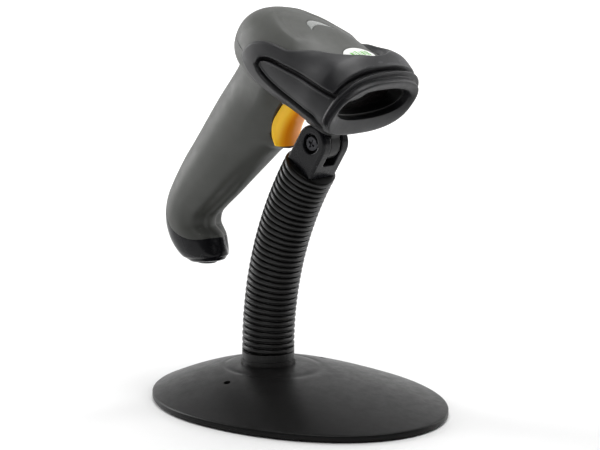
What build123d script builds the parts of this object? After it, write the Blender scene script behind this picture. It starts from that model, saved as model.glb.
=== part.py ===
from build123d import *
import math
import os

# Handheld barcode scanner resting in the holder of its gooseneck stand, in millimetres.
# Origin: on the table, under the foot of the gooseneck. +X is the way the scanner faces, +Z is up.

# Stand base
BASE_FRONT, BASE_REAR, BASE_HALF_WIDTH = 114.4, 64.2, 70.2
BASE_WIDEST_X = 14.8
RIM_BOTTOM, RIM_TOP, DOME_TOP = 0.8, 4.0, 18.5
CROWN_RADIUS = 16.0
COVER_WALL = 2.4
PLATE_THICKNESS = 1.8
FOOT_RADIUS, CENTRE_FOOT_RADIUS = 7.0, 12.0
COUNTER_HOLE_RADIUS, COUNTER_HOLE_X, COUNTER_HOLE_Y = 1.9, 6.0, 37.5
COUNTER_HOLES = [(COUNTER_HOLE_X, COUNTER_HOLE_Y), (COUNTER_HOLE_X, -COUNTER_HOLE_Y)]
FEET = [(84, 34), (84, -34), (-36, 38), (-36, -38)]
BASE_SCREWS = [(60, 0), (-40, 0), (22, 54), (22, -54)]
NECK_STEM = 8.0
PLATE_TOP = RIM_BOTTOM + PLATE_THICKNESS

# Gooseneck: a straight start, then one arc that leans forward
NECK_RADIUS, GROOVE_RADIUS, SLEEVE_BORE = 14.5, 12.6, 9.0
NECK_BOTTOM, NECK_STRAIGHT = 18.5, 7.2
BEND_RADIUS = 188.9
NECK_LEAN = 33.0
SEGMENTS, RIBS_PER_SEGMENT = 8, 4
RIB_PITCH = math.radians(NECK_LEAN) * BEND_RADIUS / (SEGMENTS * RIBS_PER_SEGMENT)
NECK_END = SEGMENTS * RIBS_PER_SEGMENT * RIB_PITCH
GROOVE_WIDTH = 1.15
LINK_RADIUS, LINK_GAP = 5.0, 0.9

# Knuckle at the top of the gooseneck, in the frame of the neck's end
COLLAR_HEIGHT = 3.6
PIVOT_HEIGHT = 20.5
EAR_RADIUS, EAR_INNER_Y, EAR_OUTER_Y = 9.9, 4.3, 9.8
YOKE_TOP = 12.0
SCREW_RADIUS, SCREW_HEAD_RADIUS, SCREW_HEAD_HEIGHT = 2.0, 4.5, 2.2
COUNTERBORE_RADIUS, COUNTERBORE_DEPTH = 5.4, 3.0
NUT_FLATS, NUT_HEIGHT = 7.0, 2.8
RUNNING_CLEARANCE = 0.06
TONGUE_RADIUS, TONGUE_HALF = 9.2, 3.6
WASHER_THICKNESS = 0.5

# Scanner frame: s runs forward along the head, t runs up from it, pitched nose down
SCANNER_X, SCANNER_Z, SCANNER_PITCH = -10.0, 190.0, 22.0
WALL = 2.2
PARTING_LEVEL = 11.0
BUMPER_THICKNESS = 1.6
SHELL_FRONT = 79.0
NOSE_LEAN, LEAN_START, NOSE_S = 0.344, 58.0, 88.6

# Head stations: s, half width, top, bottom, level of the widest point
HEAD = (
    (-6.5, 3.0, 15.0, 9.0, 12.0),
    (-5.0, 9.5, 19.8, 4.5, 12.0),
    (-1.5, 16.0, 24.8, 0.0, 11.5),
    (4.0, 21.8, 28.9, -4.0, 11.0),
    (12.0, 26.2, 31.6, -7.0, 10.5),
    (24.0, 29.3, 33.3, -8.5, 10.0),
    (40.0, 30.8, 34.2, -8.5, 10.0),
    (58.0, 31.4, 34.5, -7.5, 10.5),
    (72.0, 31.5, 35.0, -6.4, 11.0),
    (80.0, 31.2, 34.8, -5.6, 11.5),
    (85.5, 30.2, 32.4, -5.0, 11.0),
    (88.6, 28.0, 28.4, -4.2, 10.0),
)
# Grip stations: centre s and t, half depth, half width, lean of the section in degrees
GRIP = (
    (26.6, 2.5, 24.5, 17.3, 20.0),
    (21.5, -11.3, 23.8, 17.4, 20.0),
    (16.3, -25.2, 23.2, 17.5, 20.0),
    (11.2, -39.0, 22.6, 17.5, 20.0),
    (1.2, -66.3, 20.2, 17.0, 20.0),
    (-4.1, -79.4, 18.8, 16.5, 19.0),
    (-8.6, -92.0, 16.9, 16.0, 13.0),
    (-10.6, -101.0, 15.8, 15.6, -2.0),
    (-9.6, -108.5, 15.4, 15.3, -16.0),
    (-6.2, -114.2, 15.2, 15.0, -24.0),
    (-1.2, -119.2, 14.4, 14.4, -28.0),
    (4.6, -123.8, 12.0, 12.8, -28.0),
    (8.4, -126.4, 8.6, 9.8, -28.0),
)
HEAD_ROUNDNESS, NOSE_SQUARENESS, GRIP_ROUNDNESS = 2.2, 0.4, 2.2
SECTION_POINTS = 16
CAP_STATION = 9

# Trigger, in the scanner frame
TRIGGER_AXLE = (40.0, -9.0)
TRIGGER_HALF, POCKET_HALF = 9.0, 9.6
AXLE_RADIUS = 1.5
# Trigger outline: rear arc, then the hollow front that the finger pulls
TRIGGER_REAR = ((41.5, -12.0), (37.0, -18.0), (35.2, -26.0), (37.6, -32.5), (43.0, -35.0))
TRIGGER_FRONT = ((45.0, -35.0), (44.4, -28.0), (46.2, -20.0), (50.5, -13.5))

# Holder: a saddle plate under the head with a lug that enters the housing
SADDLE_S, SADDLE_LENGTH, SADDLE_WIDTH = 66.0, 19.0, 24.0
SADDLE_BOTTOM, SADDLE_TOP, PAD_TOP = -11.4, -9.4, -8.4
LUG_LENGTH, LUG_WIDTH, LUG_TOP = 9.0, 8.0, -2.0
LUG_CLEARANCE = 0.5

# Cable inlet: a boss that points straight down out of the butt cap
SOCKET_S, SOCKET_T, SOCKET_LENGTH = 4.5, -115.0, 13.5
SOCKET_RADIUS, SOCKET_BORE = 5.6, 3.6

# Badge oval and indicator lens on top of the head
BADGE_S, BADGE_LENGTH, BADGE_WIDTH, BADGE_BOTTOM = 70.5, 7.2, 10.4, 33.0
LENS_S, LENS_LENGTH, LENS_WIDTH, LENS_BOTTOM = 36.5, 5.0, 7.5, 31.6

# Laser engine
MIRROR_PLACE = (42.0, -7.0, 8.0)

# Window recess
WINDOW_CENTRE_T, WINDOW_HALF_WIDTH, WINDOW_HALF_HEIGHT = 13.3, 25.4, 10.0
GLASS_S, GLASS_THICKNESS = 75.0, 1.5
FRAME_BORDER = 2.0


def superellipse(half_width, up, down, roundness):
    """Points (across, along) of one closed outline, starting at its right-hand side."""
    points = []
    for k in range(SECTION_POINTS):
        angle = 2 * math.pi * k / SECTION_POINTS
        c, s = math.cos(angle), math.sin(angle)
        across = half_width * math.copysign(abs(c) ** (2 / roundness), c)
        along = (up if s > 0 else down) * math.copysign(abs(s) ** (2 / roundness), s)
        points.append((across, along))
    return points


def outline_face(points):
    return Face(Wire([Spline(*points, periodic=True)]))


def head_face(station, inset=0.0):
    """One head section, leaning with the nose as it nears the front."""
    s, half_width, top, bottom, level = station
    ahead = max(0.0, (s - LEAN_START) / (NOSE_S - LEAN_START))
    lean = NOSE_LEAN * ahead ** 2
    roundness = HEAD_ROUNDNESS + NOSE_SQUARENESS * ahead
    outline = superellipse(half_width - inset, top - inset - level, level - bottom - inset, roundness)
    return outline_face([(s + lean * (level + t - 10), y, level + t) for y, t in outline])


def head_form(inset=0.0, skipped=0):
    """The head as one solid, inset by the wall where a cavity is wanted, without its rearmost stations."""
    faces = []
    for station in HEAD[skipped:]:
        shift = inset if station[0] < 30 else 0.0
        if station[1] > inset + 1:
            faces.append(head_face((station[0] + shift, *station[1:]), inset))
    return loft(faces)


def grip_face(station, inset=0.0):
    s, t, half_depth, half_width, lean = station
    forward = math.cos(math.radians(lean))
    down = math.sin(math.radians(lean))
    outline = superellipse(half_depth - inset, half_width - inset, half_width - inset, GRIP_ROUNDNESS)
    return outline_face([(s + d * forward, y, t - d * down) for d, y in outline])


def grip_form(inset=0.0):
    return loft([grip_face(station, inset) for station in GRIP if station[3] > inset + 5])


def common(a, b):
    """What two shapes share, as one part."""
    return Part(Compound((a & b).solids()).wrapped)


def slab(s0, s1, half_y, t0, t1):
    """A box in the scanner frame, centred across the head."""
    return Pos((s0 + s1) / 2, 0, (t0 + t1) / 2) * Box(s1 - s0, 2 * half_y, t1 - t0)


def side_solid(points, half_y, corners):
    """A closed side outline in s and t, extruded across the head."""
    edge = Spline(*[(s, 0, t) for s, t in points])
    line = Polyline([edge @ 1, *[(s, 0, t) for s, t in corners], edge @ 0])
    return extrude(Face(Wire([edge, *line.edges()])), half_y, dir=(0, 1, 0), both=True)


def scanner_place(shape):
    return Pos(SCANNER_X, 0, SCANNER_Z) * Rot(0, SCANNER_PITCH, 0) * shape


def neck_point(length):
    """Place on the neck's centre line and its lean, at this length along the arc."""
    angle = length / BEND_RADIUS
    x = BEND_RADIUS * (1 - math.cos(angle))
    z = NECK_BOTTOM + NECK_STRAIGHT + BEND_RADIUS * math.sin(angle)
    return x, z, math.degrees(angle)


def neck_place(length, shape):
    x, z, lean = neck_point(length)
    return Pos(x, 0, z) * Rot(0, lean, 0) * shape


def neck_arc(radius, start, end):
    """A round bar that follows the neck's arc between two lengths."""
    x, z, lean = neck_point(start)
    face = Pos(x, 0, z) * Rot(0, lean, 0) * Face(Wire.make_circle(radius))
    centre = Axis((BEND_RADIUS, 0, NECK_BOTTOM + NECK_STRAIGHT), (0, 1, 0))
    return revolve(face, centre, math.degrees((end - start) / BEND_RADIUS))


def egg_face(spread, z, inset=0.0):
    """The base outline: two half ellipses, blending to the round crown as spread goes to 0."""
    front = CROWN_RADIUS + (BASE_FRONT - CROWN_RADIUS) * spread - inset
    rear = CROWN_RADIUS + (BASE_REAR - CROWN_RADIUS) * spread - inset
    half_width = CROWN_RADIUS + (BASE_HALF_WIDTH - CROWN_RADIUS) * spread - inset
    widest = BASE_WIDEST_X * spread
    points = []
    for k in range(2 * SECTION_POINTS):
        angle = math.pi * k / SECTION_POINTS
        c = math.cos(angle)
        reach = front - widest if c > 0 else rear + widest
        points.append((widest + reach * c, half_width * math.sin(angle), z))
    return outline_face(points)


def dome_height(spread):
    return RIM_TOP + (DOME_TOP - RIM_TOP) * (1 - spread ** 1.5)


def dome(drop=0.0, inset=0.0):
    spreads = (1.0, 0.85, 0.65, 0.45, 0.25, 0.0)
    return loft([egg_face(spread, dome_height(spread) - drop, inset) for spread in spreads])


def rim(bottom, top, inset=0.0):
    return extrude(egg_face(1.0, bottom, inset), top - bottom)


def at_each(places, shape):
    return Part() + [Pos(*place) * shape for place in places]


def base_cover():
    solid = rim(RIM_BOTTOM, RIM_TOP) + dome()
    hollow = rim(RIM_BOTTOM, RIM_TOP - COVER_WALL / 2, COVER_WALL) + dome(COVER_WALL, COVER_WALL)
    cover = solid - hollow
    for x, y in BASE_SCREWS:
        cover += common(Pos(x, y, PLATE_TOP + 0.1) * upright(3.4, 0, 20), solid)
    cover -= Cylinder(NECK_STEM, 60) + base_screws()
    for x, y in COUNTER_HOLES:
        cover -= Pos(x, y, 10) * Cylinder(COUNTER_HOLE_RADIUS, 30)
    return cover


def base_plate():
    plate = rim(RIM_BOTTOM, PLATE_TOP, COVER_WALL + 0.2)
    for x, y in COUNTER_HOLES:
        plate -= Pos(x, y, 0) * Cylinder(COUNTER_HOLE_RADIUS, 20)
    for x, y in BASE_SCREWS:
        plate -= Pos(x, y, 0) * Cylinder(1.6, 20)
    return plate


def base_weight():
    """The cast iron slab that keeps the stand from tipping."""
    weight = Pos(18, 0, PLATE_TOP + 0.1) * extrude(Face(Wire.make_ellipse(65, 45)), 4.0)
    weight -= Cylinder(NECK_STEM + 6, 40)
    for x, y in COUNTER_HOLES:
        weight -= Pos(x, y, 0) * Cylinder(COUNTER_HOLE_RADIUS + 3, 40)
    for x, y in BASE_SCREWS:
        weight -= Pos(x, y, 0) * Cylinder(4.2, 40)
    return weight


def rubber_feet():
    pad = Cylinder(FOOT_RADIUS, RIM_BOTTOM, align=(Align.CENTER, Align.CENTER, Align.MIN))
    centre = Cylinder(CENTRE_FOOT_RADIUS, RIM_BOTTOM, align=(Align.CENTER, Align.CENTER, Align.MIN))
    return Compound(children=[centre, *[Pos(x, y, 0) * pad for x, y in FEET]])


def base_screws():
    shank = Cylinder(1.5, 6.0, align=(Align.CENTER, Align.CENTER, Align.MIN))
    return at_each([(x, y, RIM_BOTTOM) for x, y in BASE_SCREWS], shank)


def neck_foot():
    """The flange that the gooseneck stands on, with its stem through the cover."""
    flange = Pos(0, 0, DOME_TOP) * Cylinder(15.1, 2.6, align=(Align.CENTER, Align.CENTER, Align.MIN))
    tube = Pos(0, 0, DOME_TOP) * Cylinder(NECK_RADIUS, NECK_STRAIGHT - 0.5,
                                          align=(Align.CENTER, Align.CENTER, Align.MIN))
    stem = Pos(0, 0, 8) * Cylinder(NECK_STEM - 0.1, DOME_TOP - 8, align=(Align.CENTER, Align.CENTER, Align.MIN))
    bore = Pos(0, 0, DOME_TOP + 3) * Cylinder(SLEEVE_BORE, 20, align=(Align.CENTER, Align.CENTER, Align.MIN))
    return flange + tube + stem - bore


def stem_nut():
    nut = extrude(RegularPolygon(13, 6), 4.0) - Cylinder(4.0, 20)
    stud = Cylinder(3.9, 4.0, align=(Align.CENTER, Align.CENTER, Align.MIN))
    return Pos(0, 0, 4.0) * (nut + stud)


def segment_span(index):
    start = index * RIBS_PER_SEGMENT * RIB_PITCH
    end = start + RIBS_PER_SEGMENT * RIB_PITCH
    return start + GROOVE_WIDTH / 2, end - GROOVE_WIDTH / 2


def neck_sleeve(index):
    """One ribbed length of the rubber sleeve."""
    start, end = segment_span(index)
    sleeve = neck_arc(GROOVE_RADIUS, start, end)
    rib = Cylinder(NECK_RADIUS, RIB_PITCH - GROOVE_WIDTH)
    rib = chamfer(rib.edges().filter_by(GeomType.CIRCLE), 0.5)
    for k in range(RIBS_PER_SEGMENT):
        sleeve += neck_place((index * RIBS_PER_SEGMENT + k + 0.5) * RIB_PITCH, rib)
    return sleeve - neck_arc(SLEEVE_BORE, max(0.0, start - 1), end + 1)


def neck_link(index):
    """One link of the steel core that lets the neck bend and stay put."""
    start, end = segment_span(index)
    return neck_arc(LINK_RADIUS, start + LINK_GAP / 4, end - LINK_GAP / 4)


def upright(radius, bottom, top):
    return Pos(0, 0, bottom) * Cylinder(radius, top - bottom, align=(Align.CENTER, Align.CENTER, Align.MIN))


def across(radius, y0, y1):
    """A bar across the knuckle at the pivot's height."""
    return Pos(0, (y0 + y1) / 2, PIVOT_HEIGHT) * Rot(90, 0, 0) * Cylinder(radius, abs(y1 - y0))


def top_collar():
    return neck_place(NECK_END, upright(NECK_RADIUS, 0.1, COLLAR_HEIGHT))


def knuckle_fork():
    foot = Box(2 * EAR_RADIUS, 2 * EAR_OUTER_Y, PIVOT_HEIGHT - COLLAR_HEIGHT,
               align=(Align.CENTER, Align.CENTER, Align.MIN))
    block = Pos(0, 0, COLLAR_HEIGHT) * foot + across(EAR_RADIUS, -EAR_OUTER_Y, EAR_OUTER_Y)
    outer = [edge for face in block.faces() for edge in face.edges()
             if abs(abs(face.center().Y) - EAR_OUTER_Y) < 0.01 and edge.center().Z > COLLAR_HEIGHT + 0.1]
    block = chamfer(outer, 0.9)
    slot = Pos(0, 0, YOKE_TOP) * Box(60, 2 * EAR_INNER_Y, 60, align=(Align.CENTER, Align.CENTER, Align.MIN))
    slot += across(TONGUE_RADIUS + 0.8, -EAR_INNER_Y, EAR_INNER_Y)
    fork = block - slot - across(SCREW_RADIUS, -20, 20)
    fork -= across(COUNTERBORE_RADIUS, -EAR_OUTER_Y, -EAR_OUTER_Y + COUNTERBORE_DEPTH)
    fork -= nut_form(NUT_FLATS + 0.1, EAR_OUTER_Y - NUT_HEIGHT, EAR_OUTER_Y + 1)
    return neck_place(NECK_END, fork)


def nut_form(flats, y0, y1):
    face = RegularPolygon(flats / 2, 6, major_radius=False)
    return Pos(0, y1, PIVOT_HEIGHT) * Rot(90, 0, 0) * extrude(face, y1 - y0)


def pivot_screw():
    head_outer = -EAR_OUTER_Y + COUNTERBORE_DEPTH
    head = across(SCREW_HEAD_RADIUS, head_outer - SCREW_HEAD_HEIGHT, head_outer)
    head = chamfer(head.edges().filter_by(GeomType.CIRCLE).sort_by(Axis.Y)[:1], 0.8)
    blade = Box(4.6, 1.6, 1.0)
    recess = Pos(0, head_outer - SCREW_HEAD_HEIGHT, PIVOT_HEIGHT) * (blade + Rot(0, 90, 0) * blade)
    shank = across(SCREW_RADIUS - 0.05, head_outer, EAR_OUTER_Y)
    return neck_place(NECK_END, head + shank - recess)


def pivot_nut():
    nut = nut_form(NUT_FLATS, EAR_OUTER_Y - NUT_HEIGHT, EAR_OUTER_Y - 0.3)
    return neck_place(NECK_END, nut - across(SCREW_RADIUS, -20, 20))


def pivot_washers():
    ring = across(6.0, EAR_INNER_Y - WASHER_THICKNESS, EAR_INNER_Y) - across(SCREW_RADIUS + 0.1, -20, 20)
    near = across(6.0, -EAR_INNER_Y, -EAR_INNER_Y + WASHER_THICKNESS) - across(SCREW_RADIUS + 0.1, -20, 20)
    return neck_place(NECK_END, Compound(children=[ring, near]))


def pivot_in_scanner():
    """The knuckle's pivot, in the scanner frame."""
    x, z, lean = neck_point(NECK_END)
    dx = x + PIVOT_HEIGHT * math.sin(math.radians(lean)) - SCANNER_X
    dz = z + PIVOT_HEIGHT * math.cos(math.radians(lean)) - SCANNER_Z
    c, s = math.cos(math.radians(SCANNER_PITCH)), math.sin(math.radians(SCANNER_PITCH))
    return dx * c - dz * s, dx * s + dz * c


def holder_saddle():
    pivot_s, pivot_t = pivot_in_scanner()
    disc = Pos(pivot_s, 0, pivot_t) * Rot(90, 0, 0) * Cylinder(TONGUE_RADIUS, 2 * TONGUE_HALF)
    stalk = slab(pivot_s - 7, pivot_s + 7, TONGUE_HALF, pivot_t, SADDLE_BOTTOM + 0.5)
    plate = slab(SADDLE_S - SADDLE_LENGTH / 2, SADDLE_S + SADDLE_LENGTH / 2, SADDLE_WIDTH / 2,
                 SADDLE_BOTTOM, SADDLE_TOP)
    plate = fillet(plate.edges().filter_by(Axis.Z), 4)
    lug = slab(SADDLE_S - LUG_LENGTH / 2, SADDLE_S + LUG_LENGTH / 2, LUG_WIDTH / 2, SADDLE_TOP - 0.5, LUG_TOP)
    lug = chamfer(lug.edges().group_by(Axis.Z)[-1], 1.0)
    bore = Pos(pivot_s, 0, pivot_t) * Rot(90, 0, 0) * Cylinder(SCREW_RADIUS - 0.05 + RUNNING_CLEARANCE, 60)
    return scanner_place(disc + stalk + plate + lug - bore)


def saddle_pad():
    pad = slab(SADDLE_S - SADDLE_LENGTH / 2 + 1, SADDLE_S + SADDLE_LENGTH / 2 - 1, SADDLE_WIDTH / 2 - 1,
               SADDLE_TOP, PAD_TOP)
    hole = slab(SADDLE_S - LUG_LENGTH / 2, SADDLE_S + LUG_LENGTH / 2, LUG_WIDTH / 2, -20, 0)
    return scanner_place(pad - hole)


def trigger_profile(grow=0.0):
    rear = [(s - grow, t) for s, t in TRIGGER_REAR]
    front = [(s + grow, t) for s, t in TRIGGER_FRONT]
    rear_edge = Spline(*[(s, 0, t) for s, t in rear])
    front_edge = Spline(*[(s, 0, t) for s, t in front])
    top = (TRIGGER_AXLE[0] + 3, 0, TRIGGER_AXLE[1] + 3)
    back = (TRIGGER_AXLE[0] - 3, 0, TRIGGER_AXLE[1] + 3)
    shut = Polyline([rear_edge @ 1, front_edge @ 0])
    over = Polyline([front_edge @ 1, top, back, rear_edge @ 0])
    return Face(Wire([rear_edge, *shut.edges(), front_edge, *over.edges()]))


def across_scanner(radius, half_y, s, t):
    return Pos(s, 0, t) * Rot(90, 0, 0) * Cylinder(radius, 2 * half_y)


def trigger():
    body = extrude(trigger_profile(), TRIGGER_HALF, dir=(0, 1, 0), both=True)
    body -= across_scanner(AXLE_RADIUS + RUNNING_CLEARANCE, 40, *TRIGGER_AXLE)
    s, t = TRIGGER_AXLE
    body -= slab(s - 8, s + 8, 3.4, t - 3.6, t + 8)
    return scanner_place(body)


def trigger_axle():
    return scanner_place(across_scanner(AXLE_RADIUS, POCKET_HALF + 2, *TRIGGER_AXLE))


def trigger_spring():
    """Return spring wound round the axle, in the middle of the trigger."""
    path = Helix(pitch=1.1, height=5.0, radius=2.4)
    start = Plane(origin=path @ 0, z_dir=path % 0)
    coil = sweep(start * Circle(0.4), path=path)
    return scanner_place(Pos(TRIGGER_AXLE[0], 2.5, TRIGGER_AXLE[1]) * Rot(90, 0, 0) * coil)


def trigger_pocket():
    """Room for the trigger over its whole travel."""
    return slab(31.0, 60.0, POCKET_HALF, -36.0, -4.0)


def flank_cut():
    """The curved edge of both flanks beside the trigger."""
    arc = ((40.0, -6.0), (36.4, -14.0), (34.8, -24.0), (37.2, -32.0), (42.0, -36.2))
    return side_solid(arc, 60, [(70, -36.2), (70, -6)])


def finger_hook():
    """The lip under the trigger that keeps the finger in place."""
    points = [(24.5, -60.0), (29.5, -50.5), (36.5, -43.2), (44.6, -37.6), (40.0, -36.4), (28.5, -36.4)]
    line = Polyline([(s, 0, t) for s, t in points], close=True)
    return extrude(Face(Wire(line.edges())), 3.5, dir=(0, 1, 0), both=True)


def scanner_form(inset=0.0):
    return head_form(inset) + grip_form(inset)


def front_cut():
    return slab(SHELL_FRONT, 140, 60, -60, 60)


def cap_cut():
    """Everything below the seam of the butt cap."""
    s, t, depth, width, lean = GRIP[CAP_STATION]
    return Pos(s, 0, t) * Rot(0, lean, 0) * Pos(0, 0, -50) * Box(120, 120, 100)


def top_cover():
    shell = head_form() - head_form(WALL) - front_cut()
    shell = shell - slab(-60, 140, 60, -60, PARTING_LEVEL)
    return scanner_place(shell - badge_form() - lens_form())


def handle_housing():
    shell = scanner_form() - front_cut() - cap_cut()
    shell = shell - head_form(WALL) - grip_form(WALL)
    shell -= slab(-60, 140, 60, PARTING_LEVEL, 60)
    shell = shell - trigger_pocket() - common(flank_cut(), grip_form(-1.0))
    shell += finger_hook()
    shell -= across_scanner(AXLE_RADIUS, POCKET_HALF + 2, *TRIGGER_AXLE)
    shell -= slab(SADDLE_S - LUG_LENGTH / 2 - LUG_CLEARANCE, SADDLE_S + LUG_LENGTH / 2 + LUG_CLEARANCE,
                  LUG_WIDTH / 2 + LUG_CLEARANCE, -30, 0)
    return scanner_place(shell)


def bumper_region():
    """Side view of the bumper: everything above and ahead of its lower edge."""
    lower = ((17.0, 20.0), (17.4, 12.0), (20.5, 6.8), (29.0, 2.1), (44.0, -1.2), (60.0, -2.2), (72.0, -3.6),
             (78.0, -9.0))
    return side_solid(lower, 60, [(140, -9), (140, 60), (17, 60)])


def bumper_opening():
    """Plan view of the opening on top, with the notch round the front of the badge."""
    side = ((10.0, 29.5), (19.0, 27.4), (30.0, 25.6), (45.0, 23.2), (52.0, 21.4), (60.0, 19.2), (70.0, 17.2),
            (77.0, 14.2), (81.6, 8.0), (83.0, 0.0))
    points = [*side, *[(s, -y) for s, y in reversed(side[:-1])]]
    edge = Spline(*[(s, y, 14) for s, y in points])
    shut = Polyline([edge @ 1, (-20, -29.5, 14), (-20, 29.5, 14), edge @ 0])
    return extrude(Face(Wire([edge, *shut.edges()])), 60, dir=(0, 0, 1))


def bumper_form():
    """The bumper's outside, filled, with the opening cut down to the head's own surface."""
    return common(head_form(-BUMPER_THICKNESS, 4), bumper_region()) - (bumper_opening() - head_form())


def window_hole(half_width, half_height, s0, s1):
    outline = superellipse(half_width, half_height, half_height, 2.3)
    face = outline_face([(s0, y, WINDOW_CENTRE_T + t) for y, t in outline])
    return extrude(face, s1 - s0, dir=(1, 0, 0))


def nose_bumper():
    bumper = bumper_form() - (head_form() - front_cut())
    bumper -= window_hole(WINDOW_HALF_WIDTH, WINDOW_HALF_HEIGHT, SHELL_FRONT - 0.1, 110)
    bumper -= slab(-60, SHELL_FRONT - 0.05, 24, 8, 16)
    return scanner_place(bumper)


def window_frame():
    outer = window_hole(WINDOW_HALF_WIDTH, WINDOW_HALF_HEIGHT, GLASS_S - 2.5, SHELL_FRONT - 0.15)
    inner = window_hole(WINDOW_HALF_WIDTH - FRAME_BORDER, WINDOW_HALF_HEIGHT - FRAME_BORDER, 60, 100)
    seat = window_hole(WINDOW_HALF_WIDTH - 0.8, WINDOW_HALF_HEIGHT - 0.8, GLASS_S, GLASS_S + GLASS_THICKNESS)
    return scanner_place(outer - inner - seat)


def scan_window():
    return scanner_place(window_hole(WINDOW_HALF_WIDTH - 0.9, WINDOW_HALF_HEIGHT - 0.9, GLASS_S,
                                     GLASS_S + GLASS_THICKNESS - 0.05))


def badge_form():
    face = Pos(BADGE_S, 0, BADGE_BOTTOM) * Rot(0, 0, 90) * Face(Wire.make_ellipse(BADGE_WIDTH, BADGE_LENGTH))
    return common(extrude(face, 4, dir=(0, 0, 1)), head_form(-0.4))


def badge_plate():
    return scanner_place(badge_form())


def lens_form():
    face = Pos(LENS_S, 0, LENS_BOTTOM) * Rot(0, 0, 90) * Face(Wire.make_ellipse(LENS_WIDTH, LENS_LENGTH))
    return common(extrude(face, 4, dir=(0, 0, 1)), head_form(-0.2))


def indicator_lens():
    return scanner_place(lens_form())


def butt_cap():
    cap = common(grip_form(), cap_cut())
    cap -= common(grip_form(WALL), slab(-40, 60, 30, -121.0, -80))
    return scanner_place(cap - socket_form(SOCKET_RADIUS))


def socket_form(radius):
    """The cable inlet: a round boss that points straight down out of the cap, in the scanner frame."""
    boss = Rot(180, 0, 0) * upright(radius, 0, SOCKET_LENGTH)
    return Pos(SOCKET_S, 0, SOCKET_T) * Rot(0, -SCANNER_PITCH, 0) * boss


def cable_socket():
    return scanner_place(socket_form(SOCKET_RADIUS) - socket_form(SOCKET_BORE))


def main_board():
    return scanner_place(slab(6, 60, 17.5, 17.0, 18.6))


def beeper():
    return scanner_place(Pos(18, 0, 18.7) * upright(6, 0, 5))


def handle_board():
    board = Pos(6.5, 0, -52) * Rot(0, 20.5, 0) * Box(1.6, 18, 62)
    return scanner_place(board)


def trigger_switch():
    body = Pos(28.0, 0, -28) * Box(5, 6, 6) + Pos(31.2, 0, -28) * Rot(0, 90, 0) * Cylinder(1.2, 1.6)
    return scanner_place(body)


def engine_chassis():
    tray = slab(32, 71, 20, 0.5, 14) - slab(33.5, 80, 18.5, 2, 20)
    return scanner_place(tray)


def laser_diode():
    barrel = Pos(62, -12, 7) * Rot(0, 90, 0) * Cylinder(2.8, 10)
    return scanner_place(barrel)


def collector_mirror():
    bowl = Pos(38.0, 9, 8) * Box(3, 13, 10) - Pos(58, 9, 8) * Sphere(19.2)
    return scanner_place(bowl)


def photodetector():
    return scanner_place(Pos(66, 9, 8) * Box(2.5, 7, 7))


def scan_mirror():
    plate = Pos(*MIRROR_PLACE) * (Box(1.2, 9, 7) + Pos(-1.4, 0, 0) * Box(2.0, 3, 3))
    return scanner_place(plate)


def mirror_coil():
    return scanner_place(Pos(36.6, -7, 8) * Rot(0, 90, 0) * (Cylinder(4, 4.5) - Cylinder(1.6, 10)))


def housing_screws():
    shank = Cylinder(1.2, 9.0, align=(Align.CENTER, Align.CENTER, Align.MIN))
    places = [(s, y, 6.5) for s, y in ((12.0, 15.0), (12.0, -15.0))]
    return scanner_place(at_each(places, shank))


NODES = {
    "base_cover": base_cover, "base_plate": base_plate, "base_weight": base_weight,
    "rubber_feet": rubber_feet, "base_screws": base_screws, "neck_foot": neck_foot, "stem_nut": stem_nut,
    "top_collar": top_collar, "knuckle_fork": knuckle_fork, "pivot_screw": pivot_screw,
    "pivot_nut": pivot_nut, "pivot_washers": pivot_washers, "holder_saddle": holder_saddle,
    "saddle_pad": saddle_pad, "top_cover": top_cover, "handle_housing": handle_housing,
    "nose_bumper": nose_bumper, "window_frame": window_frame, "scan_window": scan_window,
    "badge_plate": badge_plate, "indicator_lens": indicator_lens, "butt_cap": butt_cap,
    "cable_socket": cable_socket, "trigger": trigger, "trigger_axle": trigger_axle,
    "trigger_spring": trigger_spring, "trigger_switch": trigger_switch, "main_board": main_board,
    "beeper": beeper, "handle_board": handle_board, "engine_chassis": engine_chassis,
    "laser_diode": laser_diode, "collector_mirror": collector_mirror, "photodetector": photodetector,
    "scan_mirror": scan_mirror, "mirror_coil": mirror_coil, "housing_screws": housing_screws,
}

os.makedirs("parts", exist_ok=True)
for name, make in NODES.items():
    export_step(make(), f"parts/{name}.step")
for number in range(SEGMENTS):
    export_step(neck_sleeve(number), f"parts/neck_sleeve_{number + 1}.step")
    export_step(neck_link(number), f"parts/neck_link_{number + 1}.step")
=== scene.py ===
import bmesh
import bpy
import math
import numpy as np
from mathutils import Matrix, Vector


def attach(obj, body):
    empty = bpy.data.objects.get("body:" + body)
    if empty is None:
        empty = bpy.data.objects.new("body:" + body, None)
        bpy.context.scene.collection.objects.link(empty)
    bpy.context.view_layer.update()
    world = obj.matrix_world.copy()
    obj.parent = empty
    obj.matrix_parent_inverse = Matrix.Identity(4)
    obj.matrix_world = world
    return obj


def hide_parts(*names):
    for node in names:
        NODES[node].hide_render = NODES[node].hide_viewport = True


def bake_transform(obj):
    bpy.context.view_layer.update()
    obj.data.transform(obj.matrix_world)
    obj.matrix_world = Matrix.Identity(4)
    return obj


# Handheld barcode scanner in its gooseneck stand. Tables and lengths are in millimetres, meshes in metres.
MM = 0.001

# Scanner frame: s forward along the head, y across, t up from it
PITCH = math.radians(22.0)
SCANNER_X, SCANNER_Z = -10.0, 190.0
NOSE_LEAN, LEAN_START, NOSE_S = 0.344, 58.0, 88.6
ROUNDNESS, NOSE_SQUARENESS = 2.2, 0.4

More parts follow.
